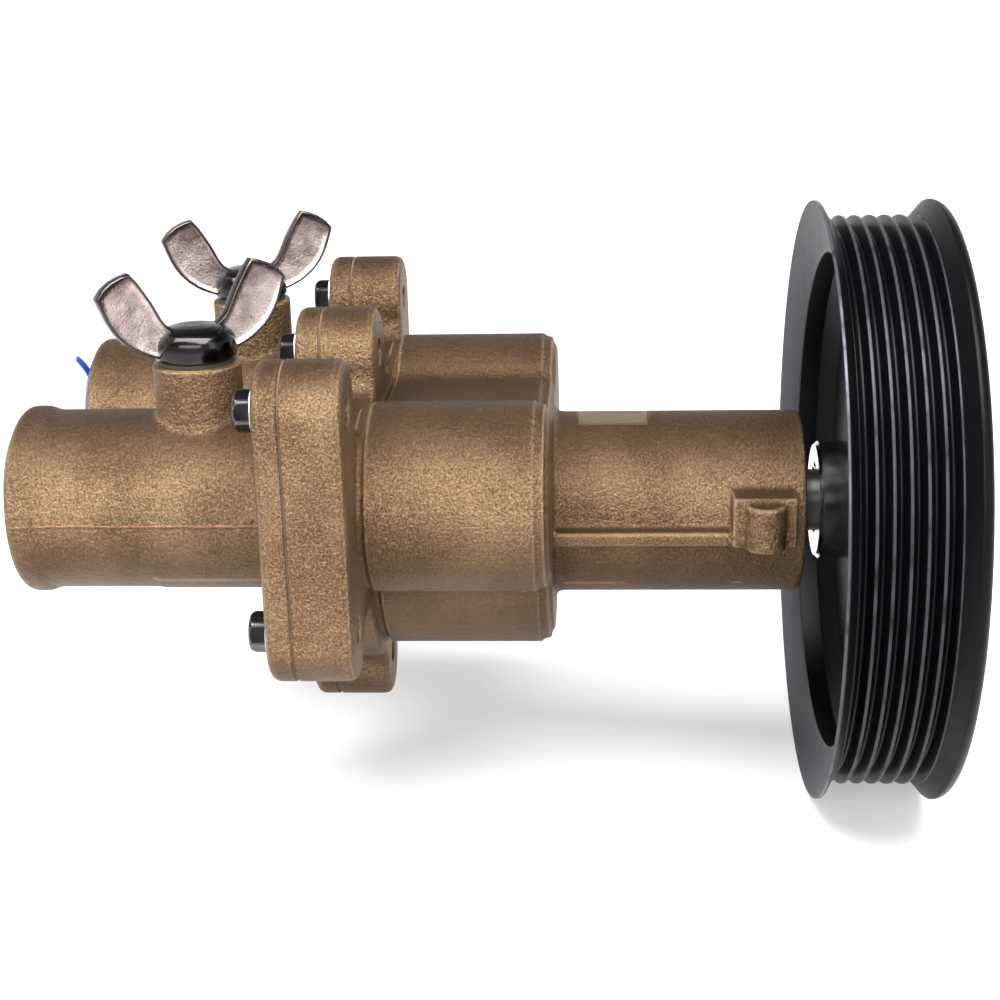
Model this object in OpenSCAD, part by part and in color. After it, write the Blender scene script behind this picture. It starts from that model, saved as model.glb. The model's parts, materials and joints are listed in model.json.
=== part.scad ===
// Flexible impeller pump: a belt driven sea water pump with both hose stubs on its end cover.
// The shaft lies along X. The origin is on the shaft axis, midway along the bearing housing.
// Y points away from the viewer, Z points up through the drain plugs. All sizes are in mm.

/* [Bearing housing] */
// Length of the round bearing housing, from the pump chamber to its open end
housing_l = 59.2; // [58:0.1:66]
// Wall of the housing round the bearings
housing_wall = 4.5; // [4:0.1:6]
// Rounding of the housing's open end
housing_round = 1.6; // [0.8:0.1:2.4]
// Fillet where the housing meets the pump chamber
shoulder_fillet = 1.8; // [1:0.1:3]
// Length of the ground flat on top of the housing
flat_l = 16.6; // [10:0.2:20]
// Depth of the ground flat
flat_depth = 0.7; // [0.3:0.1:1]
// Distance of the ground flat from the pump chamber
flat_inset = 5.9; // [4:0.1:12]
// Thickness of the cast rib along the front of the housing
rib_t = 3.3; // [2:0.1:5]
// Height of the rib above the round housing
rib_h = 4; // [2:0.1:6]
// Height of the rib's middle, against the shaft axis
rib_z = -1; // [-3:0.1:3]
// Length of the lug at the end of the rib
lug_l = 14.8; // [10:0.2:18]
// Distance of the lug from the open end
lug_inset = 2.9; // [2:0.1:6]
// Top of the lug, against the shaft axis
lug_top = 9.3; // [6:0.1:12]
// How far the lug's half round boss stays below its top
lug_boss_drop = 1.1; // [0:0.1:3]
// How far the lug's block stands out of the housing
lug_out = 5.2; // [3:0.1:8]
// Radius of the half round boss on the lug
lug_boss_r = 4.6; // [3:0.1:6]
// Diameter of the weep hole under the housing
weep_d = 4; // [2:0.5:5]

/* [Pump chamber] */
// Length of the chamber casting, from the flange to the housing shoulder
body_l = 41.7; // [40:0.1:48]
// Diameter of the impeller over its blades
impeller_d = 57; // [55:0.2:58]
// Width of the impeller
impeller_w = 31.9; // [28:0.1:32]
// Gap between the blades and the bore
blade_gap = 0.15; // [0.1:0.05:0.3]
// Gap at each face of the impeller
side_gap = 0.25; // [0.1:0.05:0.4]
// How far the cam squeezes the blades
cam_lift = 6.6; // [5:0.1:7]
// Casting wall round the impeller
chamber_wall = 5.85; // [5:0.05:8]
// Casting wall over the cam
cam_wall = 4.9; // [4:0.1:6]
// Distance of each port from the shaft, sideways
port_y = 32.5; // [32:0.1:34]
// Distance of each port above the shaft
port_z = 12.3; // [11:0.1:14]
// Bore of each port chamber
port_d = 33.6; // [31:0.2:34]
// Casting wall round each port chamber
port_wall = 4.8; // [4:0.1:6]
// Thickness of the casting behind the port chambers
end_wall = 5; // [4:0.1:8]
// Rounding of the casting's corner towards the housing
body_round = 3; // [1.5:0.1:4]
// Fillet in the creases along the casting
crease_fillet = 6; // [4:0.1:8]
// Width of the neck beside the flange
neck_l = 1.6; // [1:0.1:6]
// Depth of the neck beside the flange
neck_depth = 1.4; // [0.6:0.1:2]

/* [Flange and end cover] */
// Thickness of the body flange
flange_t = 12.8; // [12:0.1:15]
// Thickness of the end cover's plate
cover_t = 5.8; // [5:0.1:8]
// Thickness of the paper gasket
gasket_t = 0.4; // [0.2:0.05:0.8]
// How far the gasket stays inside the edge
gasket_inset = 0.3; // [0.1:0.05:1]
// Radius of the ears round the bolts
ear_r = 10.9; // [10:0.1:12]
// Sideways distance of the four corner bolts
ear_y = 56; // [55:0.1:60]
// Height of the two upper corner bolts
ear_z = 39.4; // [38:0.1:42]
// Height of the top middle bolt
top_ear_z = 38; // [37:0.1:41]
// Height of the two lower corner bolts
low_ear_z = -11; // [-14:0.1:-9]
// Height of the bottom middle bolt
bottom_ear_z = -40; // [-43:0.1:-39]
// Height of the flange's top edge between the ears
top_edge_z = 30; // [29:0.1:32]
// Height of the flange's lower edges beside the corner ears
low_edge_z = -14; // [-17:0.1:-13]
// Radius of the flange round the chamber
flange_core_r = 38; // [37:0.1:40]
// Fillet between the ears and the flange's edge
ear_fillet = 5; // [3:0.1:6]
// Rounding of the flange's and the cover's edges
edge_round = 1.5; // [0.6:0.1:2]

/* [Cover bolts] */
// Thread diameter of the cover bolts
bolt_d = 6; // [5:1:6]
// Clearance round a bolt in the cover
bolt_clear = 0.3; // [0.2:0.1:0.6]
// Width of the hexagon heads across the flats
bolt_head_w = 10; // [9:0.5:11]
// Height of the hexagon heads
bolt_head_h = 4; // [3:0.1:5]
// Turn of the hexagon heads, in degrees
bolt_turn = 19; // [0:1:59]
// How far the bolts reach into the flange
bolt_grip = 11; // [8:0.1:11.5]
// Diameter of the bolt washers
washer_d = 11.8; // [11:0.1:14]
// Thickness of the bolt washers
washer_t = 0.8; // [0.5:0.1:1.5]

/* [Hose stubs] */
// Length of the hose stubs, from the cover plate
stub_l = 58.8; // [54:0.1:70]
// Diameter of a stub where the hose sits
stub_d = 40.8; // [40:0.1:42]
// Diameter of a stub near the cover plate
stub_root_d = 41.4; // [41:0.1:43]
// Height of the bead at a stub's mouth
bead_h = 0.9; // [0.5:0.1:1.5]
// Length of the bead
bead_l = 7; // [5:0.1:9]
// Rounding of the mouth
mouth_round = 2.2; // [1:0.1:3]
// Fillet between a stub and the plate
stub_fillet = 2.5; // [1:0.1:3]

/* [Drain bosses and wing plugs] */
// Distance of the drain bosses from the cover plate
boss_x = 17.8; // [15:0.1:22]
// Diameter of the drain bosses
boss_d = 19.6; // [18:0.1:22]
// Height of the bosses' top above the shaft
boss_top = 44.5; // [41:0.1:46]
// Diameter of the plug's round head
plug_head_d = 18.3; // [16:0.1:19]
// Height of the plug's round head
plug_head_h = 7.6; // [6:0.1:9]
// Thread diameter of the plug
plug_d = 14; // [12:1:14]
// Thread length of the plug
plug_l = 9.4; // [7:0.1:9.6]
// Thread pitch of the plug
plug_pitch = 1.5; // [1:0.25:2]
// Running clearance of the plug's thread
plug_clear = 0.05; // [0.02:0.01:0.1]
// Outer diameter of the plug's seal ring
plug_seal_d = 17.2; // [16:0.1:18]
// Thickness of the plug's seal ring
plug_seal_t = 0.8; // [0.5:0.1:1.2]
// Width over both wings
wing_span = 44; // [38:0.5:48]
// Height of the wings above the seal ring
wing_rise = 20.6; // [19:0.1:24]
// Width of a wing's blade
wing_w = 8.8; // [7:0.1:10]
// Thickness of a wing's rim
wing_t = 2.8; // [2:0.1:3.5]
// Depth of the dish in each wing's face
wing_dish = 0.7; // [0.3:0.1:0.9]
// Turn of the front plug at rest, in degrees
front_plug_turn = 34; // [-90:1:90]
// Turn of the back plug at rest, in degrees
back_plug_turn = 24; // [-90:1:90]

/* [Port caps] */
// Wall of the moulded shipping caps
cap_wall = 1.2; // [0.8:0.1:2]
// Depth of the caps in the stubs
cap_depth = 12; // [8:0.1:16]
// Gap between a cap and the bore
cap_gap = 0.3; // [0.2:0.05:0.5]
// Diameter of a cap's rim
cap_rim_d = 36; // [35:0.1:40]
// Thickness of a cap's rim
cap_rim_t = 1.6; // [1:0.1:2.5]
// Length of a cap's pull tab
tab_l = 9; // [6:0.1:14]
// Width of a cap's pull tab
tab_w = 4; // [3:0.1:8]
// Thickness of a cap's pull tab
tab_t = 1.3; // [0.8:0.1:1.6]
// Lean of the pull tabs away from the stub, in degrees
tab_lean = 25; // [0:1:45]
// Turn of the front cap's tab from upright, in degrees
front_tab_turn = -110; // [-180:1:180]
// Turn of the back cap's tab from upright, in degrees
back_tab_turn = 29; // [-180:1:180]

/* [Shaft and bearings] */
// Diameter of the drive shaft
shaft_d = 15; // [14:0.5:16]
// Outer diameter of the ball bearings
bearing_od = 35; // [34:0.5:36]
// Width of the ball bearings
bearing_w = 11; // [10:0.1:12]
// Diameter of the bearing balls
ball_d = 6; // [5:0.1:6.4]
// Clearance of a ball in its races
ball_clear = 0.06; // [0.03:0.01:0.1]
// Thickness of the spacer's wall
spacer_wall = 2; // [1:0.1:2.5]
// Distance of the housing circlip from the open end
circlip_inset = 2.5; // [2:0.1:4]
// Thickness of the housing circlip
circlip_t = 1.5; // [1:0.1:2]
// Depth of the circlips in their grooves
circlip_bite = 0.8; // [0.5:0.1:1]
// Height of the circlips out of their grooves
circlip_h = 2.2; // [1.5:0.1:3]
// Thickness of the shaft circlip
shaft_clip_t = 1; // [0.8:0.1:1.4]
// Width of the two shaft keys
key_w = 5; // [4:0.5:5]
// Height of the two shaft keys
key_h = 5; // [4:0.5:5]
// Length of the pulley's key
pulley_key_l = 16; // [12:0.5:18]
// Length of the impeller's key
impeller_key_l = 24; // [16:0.5:26]

/* [Shaft seals] */
// Distance of the water seal's seat from the housing, inside the casting
seat_inset = 11.4; // [10:0.1:13]
// Step from the bearings' bore down to the oil seal's bore
lip_step = 2.5; // [2:0.1:3.5]
// Width of the oil seal
lip_seal_w = 5; // [4:0.1:6]
// Room for the shaft circlip beside the oil seal
clip_room = 1.6; // [1.5:0.1:3]
// Length of the weep space round the slinger
weep_room = 7; // [6:0.1:8]
// Diameter of the rubber slinger
slinger_d = 21; // [19:0.5:22]
// Thickness of the rubber slinger
slinger_t = 3; // [2:0.1:4]
// Wall between the weep space and the water seal
partition_t = 3; // [2:0.1:4]
// Clearance of the shaft in that wall
partition_clear = 1; // [0.5:0.1:2]
// Wall of the ceramic seat
seat_wall = 2.9; // [2.5:0.1:3.2]
// Depth of the seat's bore
seat_depth = 6; // [5:0.1:7]
// Wall of the rubber cup
cup_wall = 1.6; // [1:0.1:2]
// How far the ceramic seat stands out of its cup
seat_proud = 0.5; // [0.2:0.1:0.8]
// Width of the carbon seal face
face_w = 2.4; // [2:0.1:3]
// Film gap between the seal faces
seal_film = 0.02; // [0.01:0.01:0.05]
// Diameter of the room round the seal head
seal_room_d = 29; // [28:0.1:30]
// Wire diameter of the seal spring
spring_wire = 1.1; // [0.8:0.1:1.3]
// Mean diameter of the seal spring
spring_d = 22.4; // [21:0.1:24]

/* [Pulley] */
// Outer diameter of the pulley's rims
pulley_d = 144; // [140:0.5:150]
// Width of the pulley
pulley_w = 29.9; // [29:0.1:34]
// Gap between the pulley's rim and the bearing housing's end
pulley_gap = 2.3; // [1.5:0.1:6]
// Pitch of the belt grooves
groove_pitch = 3.56; // [3.4:0.02:3.6]
// Number of belt grooves
groove_count = 6; // [4:1:6]
// Angle between the flanks of a belt groove, in degrees
groove_angle = 40; // [36:1:44]
// Depth of the belt grooves
groove_depth = 2.9; // [2:0.1:3]
// Flat top of each rib between the grooves
groove_land = 0.75; // [0.4:0.05:1]
// Height of the rims above the belt ribs
rim_h = 3.6; // [2:0.1:5]
// Distance of the first groove from the pump side edge
groove_inset = 2.9; // [2.5:0.1:4]
// Thickness of metal under the belt grooves
rim_t = 5.8; // [4:0.1:8]
// Depth of the bevel inside the pump side rim
rim_bevel = 4; // [2:0.1:6]
// Thickness of the thin pump side lip at its edge
lip_t = 1; // [0.6:0.1:1.6]
// Thickness of the pulley's web
web_t = 5.5; // [4:0.1:8]
// Distance of the web from the pump side edge
web_inset = 13; // [9:0.1:15]
// Fillet between the web and the rim
web_fillet = 4; // [2:0.1:5]
// Diameter of the hub's nose
hub_d = 28.6; // [27:0.2:34]
// Distance of the hub's face from the pump side edge
hub_inset = 1.5; // [0.5:0.1:3]
// Diameter of the hub's collar behind the web
hub_collar_d = 40; // [36:0.5:48]
// Thickness of the hub's collar
hub_collar_t = 3.5; // [2:0.1:4]
// Thread diameter of the pulley bolt
pulley_bolt_d = 8; // [6:1:8]
// Length of the pulley bolt's thread
pulley_bolt_l = 18; // [12:0.5:22]
// Width of the pulley bolt's head across the flats
pulley_bolt_w = 13; // [11:0.5:14]
// Height of the pulley bolt's head
pulley_bolt_h = 5; // [4:0.1:6]
// Diameter of the pulley washer
pulley_washer_d = 24; // [20:0.5:27]
// Thickness of the pulley washer
pulley_washer_t = 2.2; // [1.5:0.1:3]

/* [Impeller] */
// Number of impeller blades
blade_count = 6; // [6:1:6]
// Thickness of a blade
blade_t = 3.6; // [3:0.1:4.5]
// Diameter of the bead on a blade's tip
blade_bead_d = 5; // [4:0.1:5.6]
// Diameter of the impeller's rubber hub
impeller_hub_d = 29.6; // [28:0.2:31]
// Diameter of the brass insert in the rubber hub
insert_d = 22.6; // [22:0.2:24]
// Height of the insert's three drive ribs
insert_rib_h = 1.4; // [1:0.1:1.8]
// Width of the insert's three drive ribs
insert_rib_w = 4; // [3:0.1:6]
// Thickness of the wear plate
wear_plate_t = 1; // [0.6:0.1:1.5]
// Gap round the wear plate
wear_plate_gap = 0.1; // [0.05:0.05:0.3]

/* [Hidden] */
$fn = 96;
// Overrun of a cut past the face that it opens
over = 1;
round_steps = 2;
// Largest turn in one step of an outline's arcs, in degrees
arc_turn = 6;

// Small sizes of the inner pieces
// Gap between the wear plate and the spring's retainer
wear_lip = 1;
// Thickness of the seal's pressed steel parts
holder_t = 0.9;
// Wall of the rubber bellows on the shaft
bellows_t = 1.2;
// Step of the carbon face inside the seat's edge
face_step = 0.6;
// Clearance of the carbon face on the shaft
face_gap = 0.3;
// Turns of the seal spring and its rings a turn
spring_turns = 2;
spring_rings = 8;
// Room of the spring's end coils beside their seats, as a share of the wire
wire_share = 0.8;
// Distance of the weep hole from the lip seal's seat
weep_inset = 0.2;
// Length of the slope between the hose's seat and the root of a stub
seat_slope = 1.6;
// Height of the slinger's neck on the shaft
slinger_neck = 1.5;
// Shell of the oil seal and the clearance of its lip
lip_shell = 1.2;
lip_clear = 0.05;
// Width of the opening in each circlip
circlip_open = 7;
// Bevel at the ends of the shaft and the hub
shaft_bevel = 0.8;
// Balls in a bearing, and the shoulder of each race as a share of the ball
ball_count = 8;
land_share = 0.3;
// Cage and shields of a bearing
cage_land = 0.8;
cage_w = ball_d + cage_land * 2;
cage_t = ball_d / 3;
shield_t = 0.4;
shield_depth = 0.9;
shield_gap = 0.2;
// Rounded outer edge of the plain rim, as a share of its width
flare_share = 0.45;
// Depth of a key in the shaft, as a share of its height
key_share = 0.6;
// Distance of the shaft's ends from the cover and the hub's face
shaft_gap = 1.5;

// Places along the shaft, from the pulley to the hose stubs
x_end = housing_l / 2;
x_shoulder = -housing_l / 2;
x_out_1 = x_end - circlip_inset - circlip_t;
x_out_0 = x_out_1 - bearing_w;
x_seat_0 = x_shoulder - seat_inset;
x_part_0 = x_seat_0 + seat_depth;
x_weep_0 = x_part_0 + partition_t;
x_lip_0 = x_weep_0 + weep_room;
x_lip_1 = x_lip_0 + lip_seal_w;
x_in_0 = x_lip_1 + clip_room;
x_in_1 = x_in_0 + bearing_w;
x_flange_1 = x_shoulder - body_l;
x_flange_0 = x_flange_1 - flange_t;
x_cover_1 = x_flange_0 - gasket_t;
x_cover_0 = x_cover_1 - cover_t;
x_mouth = x_cover_0 - stub_l;
x_boss = x_cover_0 - boss_x;
impeller_x_0 = x_cover_1 + side_gap;
impeller_x_1 = impeller_x_0 + impeller_w;
x_plate_0 = impeller_x_1 + side_gap;
x_plate_1 = x_plate_0 + wear_plate_t;
x_pulley = x_end + pulley_gap;
x_hub_0 = x_pulley + hub_inset;
x_web_0 = x_pulley + web_inset;
x_web_1 = x_web_0 + web_t;
x_hub_1 = x_web_1 + hub_collar_t;

shaft_r = shaft_d / 2;
housing_d = bearing_od + housing_wall * 2;
lip_seal_d = bearing_od - lip_step * 2;
seat_d = shaft_d + (partition_clear + seat_wall + cup_wall) * 2;
chamber_r = impeller_d / 2 + blade_gap;
main_r = chamber_r + chamber_wall;
cam_z = chamber_r - cam_lift;
valley_z = cam_z + cam_wall;
port_r = port_d / 2;
bulge_r = port_r + port_wall;
x_retainer_0 = x_plate_0 + wear_plate_t / 2;
x_retainer_1 = x_retainer_0 + holder_t;
x_face_1 = x_seat_0 - seat_proud - seal_film;
x_face_0 = x_face_1 - face_w;
spring_x_0 = x_retainer_1 + spring_wire * wire_share;
spring_x_1 = x_face_0 - holder_t - spring_wire * wire_share;
pitch_r = (bearing_od + shaft_d) / 4;
shield_r = pitch_r + ball_d * land_share + holder_t;
pulley_bore_r = pulley_d / 2 - rim_h - groove_depth - rim_t;
key_bottom = shaft_r - key_h * key_share;
x_shaft_0 = x_cover_1 + shaft_gap;
x_shaft_1 = x_hub_1 - shaft_gap;
x_key_0 = x_hub_0 + shaft_bevel;
washer_x_0 = x_cover_0 - washer_t;
// The plug head's rounded edge, as a share of the ball through its rims
head_share = 0.965;
// Outline points of a wing, as shares of half the span and of the rise: the tip, the inner
// edge down into the head, and the outer edge back up
wing_shares = [
    [1, 0.77], [0.84, 0.92], [0.645, 1], [0.5, 0.78], [0.395, 0.57], [0.33, 0.41], [0.2, 0.3],
    [0.2, 0.05], [0.41, 0.05], [0.5, 0.08], [0.65, 0.17], [0.815, 0.33], [0.92, 0.52]
];
// Places of the cover bolts, as (Y, Z), clockwise from the top front
ears = [
    [-ear_y, ear_z], [0, top_ear_z], [ear_y, ear_z],
    [ear_y, low_ear_z], [0, bottom_ear_z], [-ear_y, low_ear_z]
];
sides = [-1, 1];

// Geometry helpers

// Stands a flat drawing of (Y, Z) upright and grows it along the shaft from x
module along_shaft(x = 0) {
    translate([x, 0, 0]) rotate([90, 0, 90]) children();
}

module rod(x_0, x_1, r) {
    along_shaft(x_0) cylinder(h = x_1 - x_0, r = r);
}

module ring(x_0, x_1, r_out, r_in) {
    along_shaft(x_0) rotate_extrude() translate([r_in, 0]) square([r_out - r_in, x_1 - x_0]);
}

// Centre of the circle that touches two circles from outside, on the chosen side
function meet(c_1, r_1, c_2, r_2, side) =
    let (d = norm(c_2 - c_1), e = (c_2 - c_1) / d, a = (r_1 * r_1 - r_2 * r_2 + d * d) / (2 * d))
    c_1 + e * a + [-e.y, e.x] * side * sqrt(r_1 * r_1 - a * a);

// Centre of the fillet between a circle and a level edge below it
function edge_meet(c, r, edge, fillet, side) =
    let (reach = r + fillet, rise = edge + fillet - c.y)
    [c.x + side * sqrt(reach * reach - rise * rise), edge + fillet];

function flip(p) = [p.x, -p.y];
function angle(v) = atan2(v.y, v.x);

// Points of an arc from the direction of one point to that of another, the given way round
function arc(c, r, from, to, way) =
    let (
        a_0 = angle(from - c), gap = (angle(to - c) - a_0) * way,
        sweep = gap < 0 ? gap + 360 : gap, steps = ceil(sweep / arc_turn)
    )
    [for (k = [0:steps]) let (a = a_0 + way * sweep * k / steps) c + r * [cos(a), sin(a)]];

// Closes the right half of an outline, drawn from top to bottom, with its mirror image
function mirrored(half_outline) = concat(
    half_outline, [for (k = [len(half_outline) - 1:-1:0]) [-half_outline[k].x, half_outline[k].y]]
);

module box_2d(y_0, y_1, z_0, z_1) {
    translate([y_0, z_0]) square([y_1 - y_0, z_1 - z_0]);
}

// Grows an outline from x_0 to x_1 with a stepped quarter round at the far end.
// Its child is drawn with $inset, which the outline modules read.
module rounded_slab(x_0, x_1, radius) {
    dir = sign(x_1 - x_0);
    for (k = [0:round_steps]) {
        near = k == 0 ? x_0 : x_1 - dir * (radius * (1 - sin(90 * (k - 1) / round_steps)) + over);
        far = x_1 - dir * radius * (1 - sin(90 * k / round_steps));
        $inset = radius * (1 - cos(90 * k / round_steps));
        along_shaft(min(near, far)) linear_extrude(height = abs(far - near)) children();
    }
}

// Outlines of the castings, in (Y, Z), drawn smaller all round by inset

function flange_half(inset) =
    let (
        top = ears[1], high = ears[2], low = ears[3], bottom = ears[4], mid = [0, 0],
        at_top = edge_meet(top, ear_r, top_edge_z, ear_fillet, 1),
        at_high = edge_meet(high, ear_r, top_edge_z, ear_fillet, -1),
        at_low = flip(edge_meet(flip(low), ear_r, -low_edge_z, ear_fillet, -1)),
        at_core = flip(edge_meet(mid, flange_core_r, -low_edge_z, ear_fillet, 1)),
        at_bottom = meet(mid, flange_core_r + ear_fillet, bottom, ear_r + ear_fillet, 1),
        up = [0, ear_r], right = [ear_r, 0], r = ear_r - inset, f = ear_fillet + inset
    )
    concat(
        arc(top, r, top + up, at_top, -1),
        arc(at_top, f, top, at_top - up, 1),
        arc(at_high, f, at_high - up, high, 1),
        arc(high, r, at_high, high + right, -1),
        arc(low, r, low + right, at_low, -1),
        arc(at_low, f, low, at_low + up, 1),
        arc(at_core, f, at_core + up, mid, 1),
        arc(mid, flange_core_r - inset, at_core, at_bottom, -1),
        arc(at_bottom, f, mid, bottom, 1),
        arc(bottom, r, at_bottom, bottom - up, -1)
    );

function body_half(inset) =
    let (
        port = [port_y, port_z], mid = [0, 0], down = [0, -main_r], f = crease_fillet + inset,
        at_valley = edge_meet(port, bulge_r, valley_z, crease_fillet, -1),
        at_crease = meet(mid, main_r + crease_fillet, port, bulge_r + crease_fillet, -1)
    )
    concat(
        [[0, valley_z - inset]],
        arc(at_valley, f, at_valley + down, port, 1),
        arc(port, bulge_r - inset, at_valley, at_crease, -1),
        arc(at_crease, f, port, mid, 1),
        arc(mid, main_r - inset, at_crease, down, -1)
    );

module flange_outline(inset = 0) polygon(mirrored(flange_half(inset)));
module body_outline(inset = 0) polygon(mirrored(body_half(inset)));

// Bore of the impeller, flattened by the cam at the top
module chamber_outline(inset = 0) {
    intersection() {
        circle(r = chamber_r - inset);
        box_2d(-chamber_r, chamber_r, -chamber_r, cam_z - inset);
    }
}

module port_holes(r) {
    for (s = sides) translate([s * port_y, port_z]) circle(r = r);
}

module ear_holes(x_0, x_1, r) {
    for (c = ears) translate([0, c.x, c.y]) rod(x_0, x_1, r);
}

// Castings

module tunnel_profile() {
    room = seal_room_d / 2;
    bearing = bearing_od / 2;
    slinger = slinger_d / 2 + partition_clear;
    polygon([
        [0, x_plate_1 - over], [room, x_plate_1 - over], [room, x_seat_0],
        [seat_d / 2, x_seat_0], [seat_d / 2, x_part_0],
        [shaft_r + partition_clear, x_part_0], [shaft_r + partition_clear, x_weep_0],
        [slinger, x_weep_0], [slinger, x_lip_0],
        [lip_seal_d / 2, x_lip_0], [lip_seal_d / 2, x_in_0],
        [bearing, x_in_0], [bearing, x_end + over], [0, x_end + over]
    ]);
}

module housing_profile() {
    r = housing_d / 2;
    corner = [r - housing_round, x_end - housing_round];
    polygon([
        [0, x_shoulder - over], [r, x_shoulder - over], [r, corner.y],
        for (a = [0:15:90]) corner + housing_round * [cos(a), sin(a)],
        [0, x_end]
    ]);
}

module shoulder_fillet_profile() {
    r = housing_d / 2;
    difference() {
        translate([r - over, x_shoulder - over])
            square([shoulder_fillet + over, shoulder_fillet + over]);
        translate([r + shoulder_fillet, x_shoulder + shoulder_fillet]) circle(r = shoulder_fillet);
    }
}

module rib_and_lug() {
    r = housing_d / 2;
    x_lug_1 = x_end - lug_inset;
    x_lug_0 = x_lug_1 - lug_l;
    rib_bottom = rib_z - rib_t / 2;
    lug_mid = (x_lug_0 + x_lug_1) / 2;
    translate([x_shoulder - over, -r - rib_h, rib_bottom])
        cube([x_lug_1 - x_shoulder, rib_h + r / 2, rib_t]);
    translate([x_lug_0, -r - lug_out, rib_bottom]) cube([lug_l, lug_out + r / 2, lug_top - rib_bottom]);
    translate([lug_mid, -r - lug_out, rib_bottom])
        cylinder(h = lug_top - rib_bottom - lug_boss_drop, r = lug_boss_r);
}

module body_solid() {
    rounded_slab(x_flange_0, x_flange_1, edge_round) flange_outline($inset);
    along_shaft(x_flange_1 - over) linear_extrude(height = neck_l + over * 2)
        body_outline(neck_depth);
    rounded_slab(x_flange_1 + neck_l, x_shoulder, body_round) body_outline($inset);
    along_shaft() rotate_extrude() {
        housing_profile();
        shoulder_fillet_profile();
    }
    rib_and_lug();
}

module pump_body() color("peru") {
    groove_1 = x_out_1 + circlip_t;
    difference() {
        body_solid();
        along_shaft() rotate_extrude() tunnel_profile();
        along_shaft(x_flange_0 - over) linear_extrude(height = x_plate_1 - x_flange_0 + over)
            chamber_outline();
        along_shaft(x_flange_0 - over)
            linear_extrude(height = x_shoulder - end_wall - x_flange_0 + over) port_holes(port_r);
        ring(x_out_1, groove_1, bearing_od / 2 + circlip_bite, shaft_r);
        ear_holes(x_flange_0 - over, x_flange_1 + over, bolt_d / 2);
        translate([x_lip_0 - weep_d / 2 - weep_inset, 0, -housing_d])
            cylinder(h = housing_d, d = weep_d);
        translate([x_shoulder + flat_inset, -housing_d / 2, housing_d / 2 - flat_depth])
            cube([flat_l, housing_d, housing_d]);
    }
}

module stub_profile() {
    seat = stub_d / 2;
    root = stub_root_d / 2;
    bead = seat + bead_h;
    mouth = [bead - mouth_round, mouth_round];
    step_x = stub_l - boss_x - boss_d / 2 - over;
    polygon([
        [0, 0], [mouth.x, 0],
        for (a = [-90:15:0]) mouth + mouth_round * [cos(a), sin(a)],
        [bead, bead_l - mouth_round], [seat, bead_l], [seat, step_x],
        [root, step_x + seat_slope], [root, stub_l + over], [0, stub_l + over]
    ]);
    difference() {
        translate([root - over, stub_l - stub_fillet])
            square([stub_fillet + over, stub_fillet + over]);
        translate([root + stub_fillet, stub_l - stub_fillet]) circle(r = stub_fillet);
    }
}

module end_cover() color("peru") {
    difference() {
        union() {
            rounded_slab(x_cover_1, x_cover_0, edge_round) flange_outline($inset);
            for (s = sides) translate([0, s * port_y, port_z]) {
                along_shaft(x_mouth) rotate_extrude() stub_profile();
                translate([x_boss, 0, 0]) cylinder(h = boss_top - port_z, d = boss_d);
            }
        }
        for (s = sides) translate([0, s * port_y, port_z]) {
            rod(x_mouth - over, x_cover_1 + over, port_r);
            translate([x_boss, 0, 0]) cylinder(h = boss_top, r = plug_d / 2 + plug_clear);
        }
        ear_holes(x_cover_0 - over, x_cover_1 + over, bolt_d / 2 + bolt_clear);
    }
}

module cover_gasket() color("dimgray") {
    along_shaft(x_cover_1) linear_extrude(height = gasket_t) difference() {
        flange_outline(gasket_inset);
        chamber_outline();
        port_holes(port_r);
        for (c = ears) translate(c) circle(r = bolt_d / 2 + bolt_clear);
    }
}

// Fasteners

module hex_bolt(d, l, head_w, head_h) {
    cylinder(h = l, d = d);
    translate([0, 0, -head_h]) intersection() {
        cylinder(h = head_h, d = head_w / cos(30), $fn = 6);
        translate([0, 0, head_h]) sphere(r = norm([head_w / 2, head_h]));
    }
}

module cover_bolts() color("dimgray") {
    grip = x_flange_0 + bolt_grip - washer_x_0;
    for (c = ears) translate([washer_x_0, c.x, c.y])
        along_shaft() rotate(bolt_turn) hex_bolt(bolt_d, grip, bolt_head_w, bolt_head_h);
}

module bolt_washers() color("silver") {
    for (c = ears) translate([0, c.x, c.y]) ring(washer_x_0, x_cover_0, washer_d / 2, bolt_d / 2);
}

// Drain plugs

module wing() {
    tip_mid = [wing_span / 2 * wing_shares[1].x, wing_rise];
    low_mid = [wing_span / 2 * wing_shares[9].x, wing_rise * wing_shares[5].y];
    run = tip_mid - low_mid;
    dish_w = wing_w - wing_t;
    dish_r = (dish_w * dish_w / 4 + wing_dish * wing_dish) / (2 * wing_dish);
    difference() {
        rotate([90, 0, 0]) translate([0, 0, -wing_t / 2]) linear_extrude(height = wing_t)
            polygon([for (p = wing_shares) [p.x * wing_span / 2, p.y * wing_rise]]);
        for (s = sides) translate([low_mid.x, s * (wing_t / 2 - wing_dish + dish_r), low_mid.y])
            rotate([0, atan2(run.x, run.y), 0]) cylinder(h = norm(run) * 2, r = dish_r);
    }
}

module wing_plug(turn) color("slategray") {
    rise = boss_top + plug_seal_t;
    head_r = plug_head_d / 2;
    dome_r = (head_r * head_r + plug_head_h * plug_head_h) / plug_head_h;
    translate([0, 0, rise]) rotate([0, 0, turn]) {
        intersection() {
            cylinder(h = plug_head_h, r = head_r);
            translate([0, 0, plug_head_h / 2]) sphere(r = norm([head_r, plug_head_h / 2]) * head_share);
        }
        for (a = [0, 180]) rotate([0, 0, a]) wing();
        translate([0, 0, -plug_l - plug_seal_t]) cylinder(h = plug_l + plug_seal_t + over, d = plug_d);
    }
}

module at_boss(side) translate([x_boss, side * port_y, 0]) children();

module wing_plug_front() at_boss(-1) wing_plug(front_plug_turn);
module wing_plug_back() at_boss(1) wing_plug(back_plug_turn);

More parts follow.
